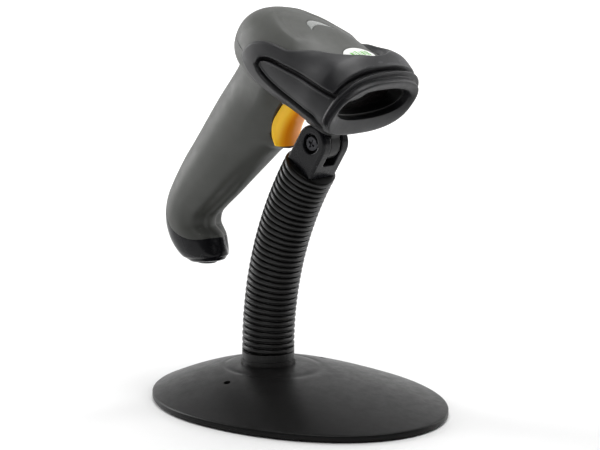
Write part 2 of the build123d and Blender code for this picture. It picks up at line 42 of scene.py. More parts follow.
# Head stations: s, half width, top, bottom, level of the widest point
HEAD = (
    (-6.9, 0.2, 12.4, 11.8, 12.0),
    (-6.5, 3.0, 15.0, 9.0, 12.0),
    (-5.0, 9.5, 19.8, 4.5, 12.0),
    (-1.5, 16.0, 24.8, 0.0, 11.5),
    (4.0, 21.8, 28.9, -4.0, 11.0),
    (12.0, 26.2, 31.6, -7.0, 10.5),
    (24.0, 29.3, 33.3, -8.5, 10.0),
    (40.0, 30.8, 34.2, -8.5, 10.0),
    (58.0, 31.4, 34.5, -7.5, 10.5),
    (72.0, 31.5, 35.0, -6.4, 11.0),
    (80.0, 31.2, 34.8, -5.6, 11.5),
    (85.5, 30.2, 32.4, -5.0, 11.0),
    (88.6, 28.0, 28.4, -4.2, 10.0),
)
# Grip stations: centre s and t, half depth, half width, lean in degrees
GRIP = (
    (26.6, 2.5, 24.5, 17.3, 20.0),
    (21.5, -11.3, 23.8, 17.4, 20.0),
    (16.3, -25.2, 23.2, 17.5, 20.0),
    (11.2, -39.0, 22.6, 17.5, 20.0),
    (1.2, -66.3, 20.2, 17.0, 20.0),
    (-4.1, -79.4, 18.8, 16.5, 19.0),
    (-8.6, -92.0, 16.9, 16.0, 13.0),
    (-10.6, -101.0, 15.8, 15.6, -2.0),
    (-9.6, -108.5, 15.4, 15.3, -16.0),
    (-6.2, -114.2, 15.2, 15.0, -24.0),
    (-1.2, -119.2, 14.4, 14.4, -28.0),
    (4.6, -123.8, 12.0, 12.8, -28.0),
    (8.4, -126.4, 8.6, 9.8, -28.0),
)
# Seam between the top cover and the handle housing: s, t
SEAM = ((-7.0, 12.0), (2.0, 13.2), (12.0, 11.6), (22.0, 9.8), (60.0, 9.0), (95.0, 9.0))

# Bumper: side view of its lower and upper edges, plan view of the opening on top
BUMPER_LOWER = ((17.4, 24.0), (17.0, 14.0), (17.2, 10.5), (18.2, 8.2), (21.0, 6.0), (29.0, 2.1),
                (44.0, -1.2), (60.0, -2.2), (72.0, -3.6), (78.0, -9.0), (79.5, -14.0))
BUMPER_UPPER = ((15.0, 4.0), (16.9, 9.5), (18.2, 13.0), (20.4, 16.6), (23.6, 19.6), (28.0, 21.8),
                (34.0, 23.4), (40.0, 24.2), (46.0, 25.1), (52.0, 27.6), (60.0, 31.0))
BUMPER_OPENING = ((4.0, 30.5), (12.0, 30.0), (20.0, 28.6), (27.4, 27.2), (34.0, 26.3), (40.4, 26.0),
                  (45.8, 25.4), (50.0, 24.2), (53.5, 22.4), (57.0, 20.4), (61.0, 18.8), (67.0, 17.4),
                  (72.0, 15.9), (76.6, 12.8), (79.6, 8.0), (81.0, 4.0), (81.3, 0.0))
# Bumper: side view of the two grooves that bound its leaf-shaped recess, then the rear end of the leaf,
# the start of the nose and the height of the skin over the head
UPPER_GROOVE = ((30.9, 10.3), (31.4, 13.4), (33.6, 15.6), (39.2, 17.5), (49.1, 18.6), (60.0, 19.6),
                (70.1, 20.0), (90.0, 20.6))
LOWER_GROOVE = ((30.9, 10.3), (34.0, 8.0), (40.7, 6.0), (51.3, 4.4), (61.9, 3.6), (71.8, 3.2),
                (78.2, 2.6), (81.2, 0.2), (83.1, -2.1), (85.0, -8.0))
LEAF_REAR, LIP_S = 30.6, 83.4
BUMPER_LIFT = 1.6
GROOVE_DEPTH, LEAF_DEPTH = 3.4, 1.1
EDGE_ROUNDING, SHOULDER_ROUNDING, EDGE_SKIRT = 1.7, 1.1, 0.75

# Top of the head: badge oval, sunken deck that carries it, the indicator's outline and two soft creases
BADGE_S, BADGE_LENGTH, BADGE_WIDTH = 70.5, 7.2, 10.4
BADGE_RISE, BADGE_ROUNDING, BADGE_CLEARANCE = 0.3, 0.12, 0.5
BAR_WIDTHS, BAR_GAP = (1.3, 0.7, 1.8, 0.7, 1.3, 0.7, 1.8), 0.72
SEAT_DEPTH, CREASE_HEIGHT = 0.75, 0.6
DECK_DROP, DECK_START, DECK_END = 1.9, 44.0, 68.0
INDICATOR = ((31.0, 0.0), (31.8, -2.6), (34.2, -5.2), (37.8, -7.0), (41.6, -8.3), (39.6, -5.2), (38.2, -2.6),
             (37.4, 0.0), (38.2, 2.6), (39.6, 5.2), (41.6, 8.3), (37.8, 7.0), (34.2, 5.2), (31.8, 2.6),
             (31.0, 0.0))
CREASES = (((8.0, 3.0), (14.0, 10.0), (20.6, 15.0), (29.6, 18.4), (36.3, 19.9), (43.9, 20.5), (51.0, 20.0)),
           ((17.0, 4.0), (25.6, 12.6), (32.7, 16.2), (40.0, 17.3), (46.2, 17.6), (52.0, 17.6)))

# Trigger: half widths of the blade and of its pocket, and how far the blade's sides fall back
TRIGGER_HALF, POCKET_HALF, TRIGGER_ROUNDING = 9.9, 9.2, 0.72
FLANK = ((41.0, -4.0), (36.4, -14.0), (34.8, -24.0), (37.2, -32.0), (42.0, -36.2))

# Shells: last head step that they reach, half gap at the seam in radians, depth of their turned-in edges
SHELL_END, SEAM_GAP, SKIRT = 10.6, 0.006, 0.4
# Head: its last step, and the mesh points around each of its parts
NOSE_END = len(HEAD) - 1
COVER_COLUMNS, HOUSING_COLUMNS, NOSE_COLUMNS = 420, 300, 900

# Grip: mesh size, flute beside the front edge, lip at the butt, level of the finger hook's top
GRIP_ROWS, GRIP_COLUMNS = 420, 320
FLUTE_DEPTH, FLUTE_ANGLE, FLUTE_WIDTH = 2.4, 0.44, 0.22
LIP_HEIGHT, HOOK_TOP = 5.6, -36.0
CAP_ROWS, CAP_COLUMNS, CAP_LAST_STEP = 160, 240, 12.0
# Rows that close the cap's end: share of its outline left, drop
CAP_CLOSING = ((0.92, 0.5), (0.75, 1.1), (0.5, 1.5), (0.2, 1.7), (0.0, 1.7))

# Window recess
WINDOW_T, WINDOW_HALF_WIDTH, WINDOW_HALF_HEIGHT, WINDOW_SQUARENESS = 13.3, 26.0, 10.3, 2.3
RECESS_END, GLASS_S = 79.0, 76.0
# Depth behind the mouth and step inward of the black frame's rows
LEDGE = ((4.6, -0.4), (4.5, 0.2), (4.5, 0.9), (4.65, 1.15), (5.0, 1.25), (6.5, 1.3), (9.0, 1.4))

# Gooseneck
NECK_BASE_Z, BEND_RADIUS, NECK_LEAN = 25.7, 188.9, 33.0
SEGMENTS, RIBS = 8, 4
PITCH_LENGTH = math.radians(NECK_LEAN) * BEND_RADIUS / (SEGMENTS * RIBS)
SEGMENT_LENGTH = RIBS * PITCH_LENGTH
NECK_END = SEGMENTS * SEGMENT_LENGTH
NECK_RADIUS, GROOVE_RADIUS = 14.5, 12.7
COLLAR_HEIGHT = 3.6
# Share of a turn from the groove to the rib's middle, and the winding's start in radians
RIB_MIDDLE, WINDING_START = 0.42, 0.6
SLEEVE_COLUMNS, ROWS_PER_RIB = 180, 30

# Base
BASE_FRONT, BASE_REAR, BASE_HALF_WIDTH, BASE_WIDEST_X = 114.4, 64.2, 70.2, 14.8
RIM_TOP, DOME_TOP, CROWN_RADIUS = 4.0, 18.5, 16.0
HOLE_RADIUS, HOLE_X, HOLE_Y = 1.9, 6.0, 37.5
# Rows round the rim: inset from the widest outline, level
RIM = ((0.45, 4.05), (0.15, 3.85), (0.0, 3.5), (0.0, 1.6), (0.12, 1.1), (0.5, 0.85), (4.0, 0.85))

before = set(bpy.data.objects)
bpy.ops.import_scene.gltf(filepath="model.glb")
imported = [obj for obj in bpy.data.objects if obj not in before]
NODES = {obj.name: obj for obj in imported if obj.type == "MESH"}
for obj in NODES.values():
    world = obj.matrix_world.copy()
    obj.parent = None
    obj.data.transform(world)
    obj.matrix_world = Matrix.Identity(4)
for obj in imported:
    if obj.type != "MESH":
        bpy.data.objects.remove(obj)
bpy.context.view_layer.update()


# ---------------------------------------------------------------- geometry helpers

def smooth_table(rows, steps):
    """Every column of a table of stations, interpolated by a Catmull-Rom curve through them."""
    rows = np.array(rows, float)
    count = len(rows)
    u = np.asarray(steps, float)
    k = np.clip(np.floor(u).astype(int), 0, count - 2)
    f = (u - k)[:, None]
    before, after = rows[np.maximum(k - 1, 0)], rows[np.minimum(k + 2, count - 1)]
    p, q = rows[k], rows[k + 1]
    square = 2 * before - 5 * p + 4 * q - after
    cube = 3 * (p - q) + after - before
    return p + 0.5 * f * (q - before + f * (square + f * cube))


def signed_power(value, power):
    """A power that keeps the value's sign."""
    return np.sign(value) * np.abs(value) ** power


def full_turn(count):
    """Evenly spaced angles once round."""
    return np.linspace(0, 2 * math.pi, count, endpoint=False)


def to_world(points):
    """Scanner frame (s, y, t) in mm to the row frame in metres."""
    s, y, t = points[..., 0], points[..., 1], points[..., 2]
    c, n = math.cos(PITCH), math.sin(PITCH)
    return np.stack([SCANNER_X + s * c + t * n, y, SCANNER_Z - s * n + t * c], -1) * MM


def grid_normals(points, wrap):
    """Unit normals of a grid of points, by central differences."""
    du = np.gradient(points, axis=0)
    if wrap:
        dv = np.roll(points, -1, axis=1) - np.roll(points, 1, axis=1)
    else:
        dv = np.gradient(points, axis=1)
    n = np.cross(du, dv)
    return n / np.maximum(np.linalg.norm(n, axis=-1, keepdims=True), 1e-9)


def make_piece(name, points, wrap=False, caps=(False, False), keep=None, flip=False):
    """A smooth mesh object from a grid of points, in metres. keep says which vertices stay."""
    rows, cols = points.shape[:2]
    index = np.arange(rows * cols).reshape(rows, cols)
    a, b = index[:-1, :], index[1:, :]
    if wrap:
        right_a, right_b = np.roll(a, -1, axis=1), np.roll(b, -1, axis=1)
    else:
        a, b = a[:, :-1], b[:, :-1]
        right_a, right_b = index[:-1, 1:], index[1:, 1:]
    quads = np.stack([a, b, right_b, right_a], -1).reshape(-1, 4)
    if keep is not None:
        quads = quads[keep.reshape(-1)[quads].all(axis=1)]
    if flip:
        quads = quads[:, ::-1]
    vertices = points.reshape(-1, 3)
    faces = [tuple(q) for q in quads.tolist()]
    if caps[0]:
        loop = index[0].tolist()
        faces.append(tuple(loop if not flip else loop[::-1]))
    if caps[1]:
        loop = index[-1].tolist()
        faces.append(tuple(loop[::-1] if not flip else loop))
    mesh = bpy.data.meshes.new(name)
    mesh.from_pydata(vertices.tolist(), [], faces)
    tidy = bmesh.new()
    tidy.from_mesh(mesh)
    bmesh.ops.delete(tidy, geom=[v for v in tidy.verts if not v.link_faces], context="VERTS")
    bmesh.ops.remove_doubles(tidy, verts=tidy.verts, dist=1e-7)
    tidy.to_mesh(mesh)
    tidy.free()
    mesh.shade_smooth()
    piece = bpy.data.objects.new(name, mesh)
    bpy.context.scene.collection.objects.link(piece)
    return piece


def finish_piece(piece, body, material, slot, *nodes, crease=None):
    """Sets a piece's sharp edges, material and body, and hides the CAD nodes that it stands for. slot is not
    used.
    """
    if crease is not None:
        piece.data.set_sharp_from_angle(angle=math.radians(crease))
    piece.data.materials.clear()
    piece.data.materials.append(material)
    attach(piece, body)
    if nodes:
        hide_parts(*nodes)
    return piece


def apply_modifiers(piece):
    """Makes the piece's modified shape its own mesh."""
    bpy.context.view_layer.update()
    evaluated = piece.evaluated_get(bpy.context.evaluated_depsgraph_get())
    mesh = bpy.data.meshes.new_from_object(evaluated)
    piece.modifiers.clear()
    piece.data = mesh


def cut(piece, cutter):
    """Takes the cutter's shape out of the piece and removes the cutter."""
    step = piece.modifiers.new("cut", "BOOLEAN")
    step.object = cutter
    step.operation = "DIFFERENCE"
    step.solver = "EXACT"
    apply_modifiers(piece)
    bpy.data.objects.remove(cutter)
    return piece


def softened(node, name, voxel, passes):
    """A finely meshed copy of a CAD node with its hard edges rounded over."""
    piece = bpy.data.objects.new(name, NODES[node].data.copy())
    bpy.context.scene.collection.objects.link(piece)
    step = piece.modifiers.new("remesh", "REMESH")
    step.mode = "VOXEL"
    step.voxel_size = voxel * MM
    relax = piece.modifiers.new("relax", "SMOOTH")
    relax.iterations = passes
    apply_modifiers(piece)
    piece.data.shade_smooth()
    return piece


def prism(name, outline, y0, y1):
    """A closed side outline (s, t) extruded across the head."""
    ring = np.array([(s, y0, t) for s, t in outline] + [(s, y1, t) for s, t in outline], float)
    count = len(outline)
    faces = [tuple(range(count))[::-1], tuple(range(count, 2 * count))]
    faces += [(k, (k + 1) % count, count + (k + 1) % count, count + k) for k in range(count)]
    mesh = bpy.data.meshes.new(name)
    mesh.from_pydata(to_world(ring).tolist(), [], faces)
    piece = bpy.data.objects.new(name, mesh)
    bpy.context.scene.collection.objects.link(piece)
    tidy = bmesh.new()
    tidy.from_mesh(mesh)
    bmesh.ops.recalc_face_normals(tidy, faces=tidy.faces)
    tidy.to_mesh(mesh)
    tidy.free()
    return piece


def dense(points, per_span=16):
    """A smooth line through the given points."""
    return smooth_table(points, np.linspace(0, len(points) - 1, (len(points) - 1) * per_span + 1))


def signed_distance(x, y, line):
    """Distance from points to a polyline, positive on the left of its direction."""
    shape = x.shape
    px, py = x.reshape(-1), y.reshape(-1)
    best = np.full(px.shape, 1e9)
    side = np.zeros(px.shape)
    for (ax, ay), (bx, by) in zip(line[:-1], line[1:]):
        dx, dy = bx - ax, by - ay
        length = dx * dx + dy * dy
        if length < 1e-12:
            continue
        f = np.clip(((px - ax) * dx + (py - ay) * dy) / length, 0, 1)
        gap = np.hypot(px - ax - f * dx, py - ay - f * dy)
        closer = gap < best
        best = np.where(closer, gap, best)
        side = np.where(closer, np.sign(dx * (py - ay) - dy * (px - ax)), side)
    return (best * np.where(side >= 0, 1, -1)).reshape(shape)


def outline_distance(x, y, outline):
    """Distance to a closed outline, positive inside it."""
    inside = np.zeros(x.shape, bool)
    for (ax, ay), (bx, by) in zip(outline, np.roll(outline, -1, axis=0)):
        spans = (ay > y) != (by > y)
        if abs(by - ay) > 1e-12:
            inside ^= spans & (x < (bx - ax) * (y - ay) / (by - ay) + ax)
    return np.abs(signed_distance(x, y, outline)) * np.where(inside, 1, -1)


def ramp(value, low, high):
    """0 below low, 1 above high, smooth between."""
    f = np.clip((value - low) / (high - low), 0, 1)
    return f * f * (3 - 2 * f)


def bell(value, width):
    """1 at 0, falling smoothly on both sides."""
    return np.exp(-(value / width) ** 2)


def quarter_round(value):
    """A quarter circle: 0 and upright at 0, 1 and level from 1 on."""
    return np.sqrt(np.clip(1 - (1 - np.clip(value, 0, 1)) ** 2, 0, 1))


# ---------------------------------------------------------------- head

def head_sections(steps):
    """Each section's s, half width, top, bottom, level, lean and roundness."""
    s, half_width, top, bottom, level = smooth_table(HEAD, steps).T
    ahead = np.maximum(0.0, (s - LEAN_START) / (NOSE_S - LEAN_START))
    return s, half_width, top, bottom, level, NOSE_LEAN * ahead ** 2, ROUNDNESS + NOSE_SQUARENESS * ahead


def head_grid(steps, angles):
    """Surface points of the head, one row for each step and one column for each angle."""
    s, half_width, top, bottom, level, lean, roundness = [v[:, None] for v in head_sections(steps)]
    c, n = np.cos(angles), np.sin(angles)
    y = half_width * signed_power(c, 2 / roundness)
    t = level + np.where(n > 0, top - level, level - bottom) * signed_power(n, 2 / roundness)
    return np.stack([s + lean * (t - 10), y, t], -1), np.broadcast_to(s, t.shape)


def head_steps(first, last, per_span):
    return np.linspace(first, last, int((last - first) * per_span) + 1)


def seam_angle(steps):
    """The angle at which each head section meets the seam."""
    s, _, top, bottom, level, _, roundness = head_sections(steps)
    seam = np.interp(s, [p[0] for p in SEAM], [p[1] for p in SEAM])
    above = np.clip((seam - level) / (top - level), 0, 0.95) ** (roundness / 2)
    below = np.clip((level - seam) / (level - bottom), 0, 0.95) ** (roundness / 2)
    return np.where(seam > level, np.arcsin(above), -np.arcsin(below))


def skirted(points, normals, depth):
    """Adds rows that turn in under the first and last columns, for a rounded edge and a dark seam."""
    edges = []
    for column, order in ((0, -1), (-1, 1)):
        rim = points[:, column]
        inward = -normals[:, column]
        steps = [rim + inward * (depth * k) for k in (0.35, 1.0, 2.2)]
        edges.append(steps[::-1] if order < 0 else steps)
    return np.concatenate([np.stack(edges[0], 1), points, np.stack(edges[1], 1)], axis=1)


def top_cover():
    """The grey upper shell, with its two soft creases and seats for the lens and the badge."""
    steps = head_steps(0.0, SHELL_END, 30)
    start = seam_angle(steps)[:, None] + SEAM_GAP
    v = np.linspace(0, 1, COVER_COLUMNS)[None, :]
    angles = start + v * (math.pi - 2 * start)
    points, station = head_grid(steps, angles)
    normals = outward(points, grid_normals(points, False))
    s, y = points[..., 0], np.abs(points[..., 1])
    lift = np.zeros(s.shape)
    for line in CREASES:
        gap = signed_distance(s, y, dense(line, 6))
        along = ramp(s, line[0][0] - 1, line[0][0] + 7) * (1 - ramp(s, line[-1][0] - 9, line[-1][0] - 1))
        lift += CREASE_HEIGHT * along * (ramp(gap, -2.2, 0.6) - ramp(gap, 0.6, 9.0))
    lift -= SEAT_DEPTH * ramp(indicator_depth(points[..., 0], points[..., 1]), -0.15, 0.25)
    lift -= bumper_room(points, station)
    badge = np.hypot((s - BADGE_S) / (BADGE_LENGTH + BADGE_CLEARANCE), y / (BADGE_WIDTH + BADGE_CLEARANCE))
    lift -= 0.6 * ramp(1 - badge, -0.01, 0.03)
    lift -= deck_drop(s) * ramp(points[..., 2], 16, 26)
    points = points + normals * lift[..., None]
    points = skirted(points, normals, SKIRT)
    return make_piece("top_shell", to_world(points), flip=True)


def outward(points, normals):
    """Normals turned away from the head's middle."""
    middle = np.zeros(3)
    middle[2] = 12.0
    reach = points - middle
    reach[..., 0] *= 0.15
    sign = np.sign((reach * normals).sum(-1, keepdims=True))
    return normals * np.where(sign == 0, 1, sign)


def deck_drop(s):
    """How far the front of the top cover lies below the head's own line."""
    return DECK_DROP * ramp(s, DECK_START, DECK_END)


def indicator_depth(s, y):
    """Distance inside the indicator's outline in plan view, negative outside."""
    return outline_distance(s, y, dense(INDICATOR, 5))


def lens_piece():
    """The indicator lens: a pale curved blade that fills its seat."""
    span = np.linspace(30.0, 45.0, 110)
    wide = np.linspace(-9.5, 9.5, 150)
    s, y = np.meshgrid(span, wide, indexing="ij")
    t = head_height(s, y) - 0.18
    inside = indicator_depth(s, y)
    t = t - 0.35 * (1 - ramp(inside, 0.0, 0.5))
    points = np.stack([s, y, t], -1)
    return make_piece("indicator_blade", to_world(points), keep=inside > 0.12)


def head_height(s, y):
    """Level of the head's upper surface above a point in plan view."""
    steps = head_steps(0.0, NOSE_END, 24)
    at, half_width, top, _, level, lean, roundness = head_sections(steps)
    t = np.full(s.shape, 30.0)
    for _ in range(4):
        base = s - np.interp(s, at, lean) * (t - 10)
        w, high = np.interp(base, at, half_width), np.interp(base, at, top)
        mid, power = np.interp(base, at, level), np.interp(base, at, roundness)
        t = mid + (high - mid) * np.clip(1 - np.abs(y / w) ** power, 0, 1) ** (1 / power)
    return t


def badge_oval():
    """The badge: a thin oval plate that follows the top of the head."""
    r, a = np.meshgrid(np.linspace(0.0, 1.0, 26), full_turn(96), indexing="ij")
    s, y = BADGE_S + BADGE_LENGTH * r * np.cos(a), BADGE_WIDTH * r * np.sin(a)
    height = BADGE_RISE * (1 - ramp(r, 1 - BADGE_ROUNDING, 1.0) ** 2)
    t = head_height(s, y) - deck_drop(s) + height + 0.15 * (1 - r ** 2)
    points = np.stack([s, y, t], -1)
    skirt = points[-1:].copy()
    skirt[..., 2] -= 0.9
    return make_piece("badge_oval", to_world(np.concatenate([points, skirt])), wrap=True, flip=True)


def badge_mark():
    """A row of plain upright bars of different widths on the badge."""
    bars = []
    y = 6.3
    for k, width in enumerate(BAR_WIDTHS):
        reach = 2.5 + 0.6 * math.sin(1.9 * k)
        s = np.linspace(BADGE_S - reach, BADGE_S + reach, 14)
        across = np.linspace(y - width, y, 5)
        a, b = np.meshgrid(s, across, indexing="ij")
        edge = np.minimum(np.minimum(a - s[0], s[-1] - a) * 3, np.minimum(b - across[0], across[-1] - b) * 3)
        t = head_height(a, b) - deck_drop(a) + 0.38 + 0.16 * np.clip(edge + 0.2, 0, 1)
        bars.append(make_piece("badge_bar", to_world(np.stack([a, b, t], -1))))
        y -= width + BAR_GAP
    return join(bars, "badge_bars")


def join(pieces, name):
    """Several meshes as one object."""
    whole = bmesh.new()
    for piece in pieces:
        whole.from_mesh(piece.data)
        bpy.data.objects.remove(piece)
    mesh = bpy.data.meshes.new(name)
    whole.to_mesh(mesh)
    whole.free()
    mesh.shade_smooth()
    result = bpy.data.objects.new(name, mesh)
    bpy.context.scene.collection.objects.link(result)
    return result


def bumper_fields(points, station):
    """Signed distance inside the bumper's outline, and inside the leaf and the nose zone."""
    s, y, t = points[..., 0], np.abs(points[..., 1]), points[..., 2]
    lower = signed_distance(s, t, dense(BUMPER_LOWER, 6))
    opening = signed_distance(s, y, dense(BUMPER_OPENING, 6))
    upper = -signed_distance(s, t, dense(BUMPER_UPPER, 6))
    on_plan = ramp(s, 42, 50)
    top_edge = np.where(t > 12, (1 - on_plan) * upper + on_plan * opening, np.maximum(upper, opening))
    top_edge = np.where(t > 5, top_edge, 9.0)
    bottom_edge = np.where((station > 79) & (t < 14), 6.0, lower)
    edge = np.minimum(np.where(t > 20, 9.0, bottom_edge), top_edge)
    edge = np.where((t > 12) & (s < 17.2), np.minimum(edge, s - 17.2), edge)
    upper_groove, lower_groove = dense(UPPER_GROOVE, 8), dense(LOWER_GROOVE, 8)
    over = np.interp(station, upper_groove[:, 0], upper_groove[:, 1]) - t
    under = t - np.interp(station, lower_groove[:, 0], lower_groove[:, 1])
    leaf = np.minimum(np.minimum(over, under), station - LEAF_REAR)
    nose = station - LIP_S
    return edge, np.maximum(leaf, nose), nose


def bumper_room(points, station):
    """How far the grey shell sinks where the bumper covers it."""
    return 4.0 * ramp(bumper_fields(points, station)[0], 0.7, 1.9)


def bumper_lift(edge, leaf, nose, station, high):
    """Height of the bumper's skin over the head's surface. high is 0 on the sides and 1 on top."""
    full = BUMPER_LIFT + (0.7 + 1.5 * high) * ramp(station, 60, 77) - 1.7 * high * ramp(station, 76, LIP_S)
    lift = np.where(edge < 0, edge * 6.0, full * quarter_round(edge / EDGE_ROUNDING))
    lift -= 0.9 * (1 - quarter_round(-leaf / SHOULDER_ROUNDING)) * (leaf < 0)
    floor = full - GROOVE_DEPTH
    inner = full - LEAF_DEPTH - 0.4 * ramp(station, 70, 82)
    bead = 0.25 * bell(leaf - 2.6, 0.5) * (nose < 0)
    groove = floor + (inner - floor) * ramp(leaf, 1.4, 2.3) + bead
    lift = np.where(leaf >= 0, groove, lift)
    at_nose = (nose > 0) * ramp(nose, 0, 0.3)
    ridge = (1.5 * bell(nose - 2.4, 0.5) - 0.6 * bell(nose - 3.5, 0.4)) * at_nose
    flare = 1.3 * ramp(nose, 3.8, 5.0)
    return lift + ridge + flare


def recess_row(mouth, inner, depth, step_in):
    """The window outline again, this far behind the mouth and this much smaller."""
    row = mouth.copy()
    row[:, 0] = inner[:, 0] - depth
    narrow = 1 - (step_in + 0.05 * depth) / WINDOW_HALF_WIDTH
    low = 1 - (step_in + 0.05 * depth) / WINDOW_HALF_HEIGHT
    row[:, 1] *= narrow
    row[:, 2] = WINDOW_T + (row[:, 2] - WINDOW_T) * low
    return row


def window_mouth(angles):
    """The window's rounded outline on the sloping face of the nose."""
    c, n = np.cos(angles), np.sin(angles)
    y = WINDOW_HALF_WIDTH * signed_power(c, 2 / WINDOW_SQUARENESS)
    t = WINDOW_T + WINDOW_HALF_HEIGHT * signed_power(n, 2 / WINDOW_SQUARENESS)
    return np.stack([NOSE_S + NOSE_LEAN * (t - 10) + 0.2, y, t], -1)


def window_hood():
    """The black frame inside the recess: a thin ledge, then a tunnel back to the glass."""
    angles = full_turn(360)
    mouth = window_mouth(angles)
    rows = [recess_row(mouth, mouth, depth, step) for depth, step in LEDGE]
    back = rows[-1].copy()
    back[:, 0] = np.minimum(back[:, 0], RECESS_END)
    rows.append(back)
    rear = back.copy()
    rear[:, 0] = GLASS_S
    rows.append(rear)
    return make_piece("window_hood", to_world(np.stack(rows)), wrap=True, flip=True)


def nose_bumper():
    """The elastomer nose: raised lip, leaf-shaped recess, double ridge, flared ring and window recess."""
    fine = head_steps(4.6, 9.0, 34)
    front = head_steps(9.0, NOSE_END, 60)
    steps = np.concatenate([fine[:-1], front])
    angles = full_turn(NOSE_COLUMNS) - math.pi / 2
    points, station = head_grid(steps, angles[None, :])
    normals = outward(points, grid_normals(points, True))
    edge, leaf, nose = bumper_fields(points, station)
    lift = bumper_lift(edge, leaf, nose, station, ramp(points[..., 2], 18, 31))
    skin = points + normals * lift[..., None]
    keep = edge > -EDGE_SKIRT
    rows = [skin]
    rim = skin[-1]
    mouth = window_mouth(angles)
    # The ring's front face, which swells between the rim and the mouth of the window
    for f in (0.06, 0.16, 0.3, 0.5, 0.7, 0.86, 0.94, 0.98):
        row = rim * (1 - f) + mouth * f
        row[:, 0] += 0.8 * math.sin(math.pi * f) ** 0.6 - 0.9 * f
        rows.append(row[None])
    inner = rows[-1][0]
    # The wall of the window's recess
    for depth in (0.4, 1.2, 2.6, 4.0, 5.4):
        rows.append(recess_row(mouth, inner, depth, 0.0)[None])
    whole = np.concatenate(rows)
    shown = np.concatenate([keep, np.ones((len(whole) - len(keep), len(angles)), bool)])
    return make_piece("nose_cover", to_world(whole), wrap=True, keep=shown, flip=True)


# ---------------------------------------------------------------- handle

def grip_grid(steps, angles, grow=0.0):
    """Surface points of the grip. Angle 0 is its front, pi its rear."""
    s0, t0, depth, width, lean = [v[:, None] for v in smooth_table(GRIP, steps).T]
    u = np.asarray(steps)[:, None]
    lean = np.radians(lean)
    c, n = np.cos(angles), np.sin(angles)
    flare = 1 + 0.42 * (1 - ramp(u, -0.2, 2.2)) ** 2 * (1 - ramp(c, 0.2, 0.75))
    flare = flare * (1 - 0.27 * ramp(c, 0.2, 0.7) * (1 - ramp(u, 0.8, 3.0)))
    d = (depth + grow) * signed_power(c, 2 / ROUNDNESS)
    y = (width + grow) * flare * signed_power(n, 2 / ROUNDNESS)
    folded = np.abs((angles + math.pi) % (2 * math.pi) - math.pi)
    run = ramp(u, 3.1, 4.2) * (1 - ramp(u, 10.0, 11.6))
    flute = FLUTE_DEPTH * bell(folded - FLUTE_ANGLE, FLUTE_WIDTH) * run
    ridge = LIP_HEIGHT * bell(folded, 0.9) * ramp(u, 8.3, 9.6) * (1 - 0.15 * ramp(u, 11.2, 12.0))
    d = d - flute * np.sign(c) * 0.55 + ridge
    y = y - flute * np.sign(n) * 0.85
    s = s0 + d * np.cos(lean)
    t = t0 - d * np.sin(lean)
    below = HOOK_TOP - t
    web = 3.0 * (1 - ramp(below, 0.0, 18.0)) ** 2
    tip = 6.5 * (1 - ramp(below, 0.0, 5.5)) ** 2
    hook = (web + tip) * bell(folded, 0.46) * (1 - ramp(t, HOOK_TOP, HOOK_TOP + 6.0))
    return np.stack([s + hook, y, t + 0.15 * hook], -1)


def cap_seam(angles):
    """Grip step at which the butt cap starts, higher at the rear than at the sides."""
    rear = (1 - np.cos(angles)) / 2
    return 10.0 - 4.4 * rear ** 2.6 - 0.35 * (1 - rear) ** 2


def handle_grip():
    """The grip, closed, with the flank cut beside the trigger and the trigger's pocket."""
    angles = full_turn(GRIP_COLUMNS)
    steps = np.linspace(0, 1, GRIP_ROWS)[:, None] * cap_seam(angles)[None, :]
    points = np.empty((GRIP_ROWS, GRIP_COLUMNS, 3))
    for column in range(GRIP_COLUMNS):
        points[:, column] = grip_grid(steps[:, column], angles[column:column + 1])[:, 0]
    tuck = points[-1:].copy()
    middle = tuck.mean(axis=1, keepdims=True)
    rows = [points, tuck + (middle - tuck) * 0.02 + [[[0, 0, -0.15]]], tuck + (middle - tuck) * 0.08]
    piece = make_piece("grip", to_world(np.concatenate(rows)), wrap=True, caps=(True, True))
    recalc(piece)
    arc = dense(FLANK, 10)
    outline = [tuple(p) for p in arc] + [(75.0, -36.2), (75.0, -4.0)]
    piece = cut(piece, prism("flank_cutter", outline, -60.0, 60.0))
    pocket = [(p[0] - 2.0, p[1]) for p in arc] + [(60.0, -36.0), (60.0, -4.0)]
    return cut(piece, prism("pocket_cutter", pocket, -POCKET_HALF, POCKET_HALF))


def recalc(piece):
    """Turns a closed piece's faces outward and shades it smooth."""
    tidy = bmesh.new()
    tidy.from_mesh(piece.data)
    bmesh.ops.recalc_face_normals(tidy, faces=tidy.faces)
    tidy.to_mesh(piece.data)
    tidy.free()
    piece.data.shade_smooth()


def handle_housing():
    """The grey lower shell: underside of the head and the grip."""
    steps = head_steps(0.0, SHELL_END, 24)
    start = seam_angle(steps)[:, None] - SEAM_GAP
    v = np.linspace(0, 1, HOUSING_COLUMNS)[None, :]
    angles = start - v * (math.pi + 2 * start)
    points, station = head_grid(steps, angles)
    normals = outward(points, grid_normals(points, False))
    s, y, t = points[..., 0], np.abs(points[..., 1]), points[..., 2]
    points = points - normals * bumper_room(points, station)[..., None]
    pocket = (y < POCKET_HALF - 0.6) & (s > 33.0) & (s < 53.0) & (t < 5)
    lug = (y < 4.4) & (s > 61.6) & (s < 70.4) & (t < 5)
    under = ~(pocket | lug)
    points = skirted(points, normals, SKIRT)
    pad = np.ones((len(steps), 3), bool)
    keep = np.concatenate([pad, under, pad], axis=1)
    belly = make_piece("belly", to_world(points), keep=keep)
    return join([belly, handle_grip()], "handle_shell")


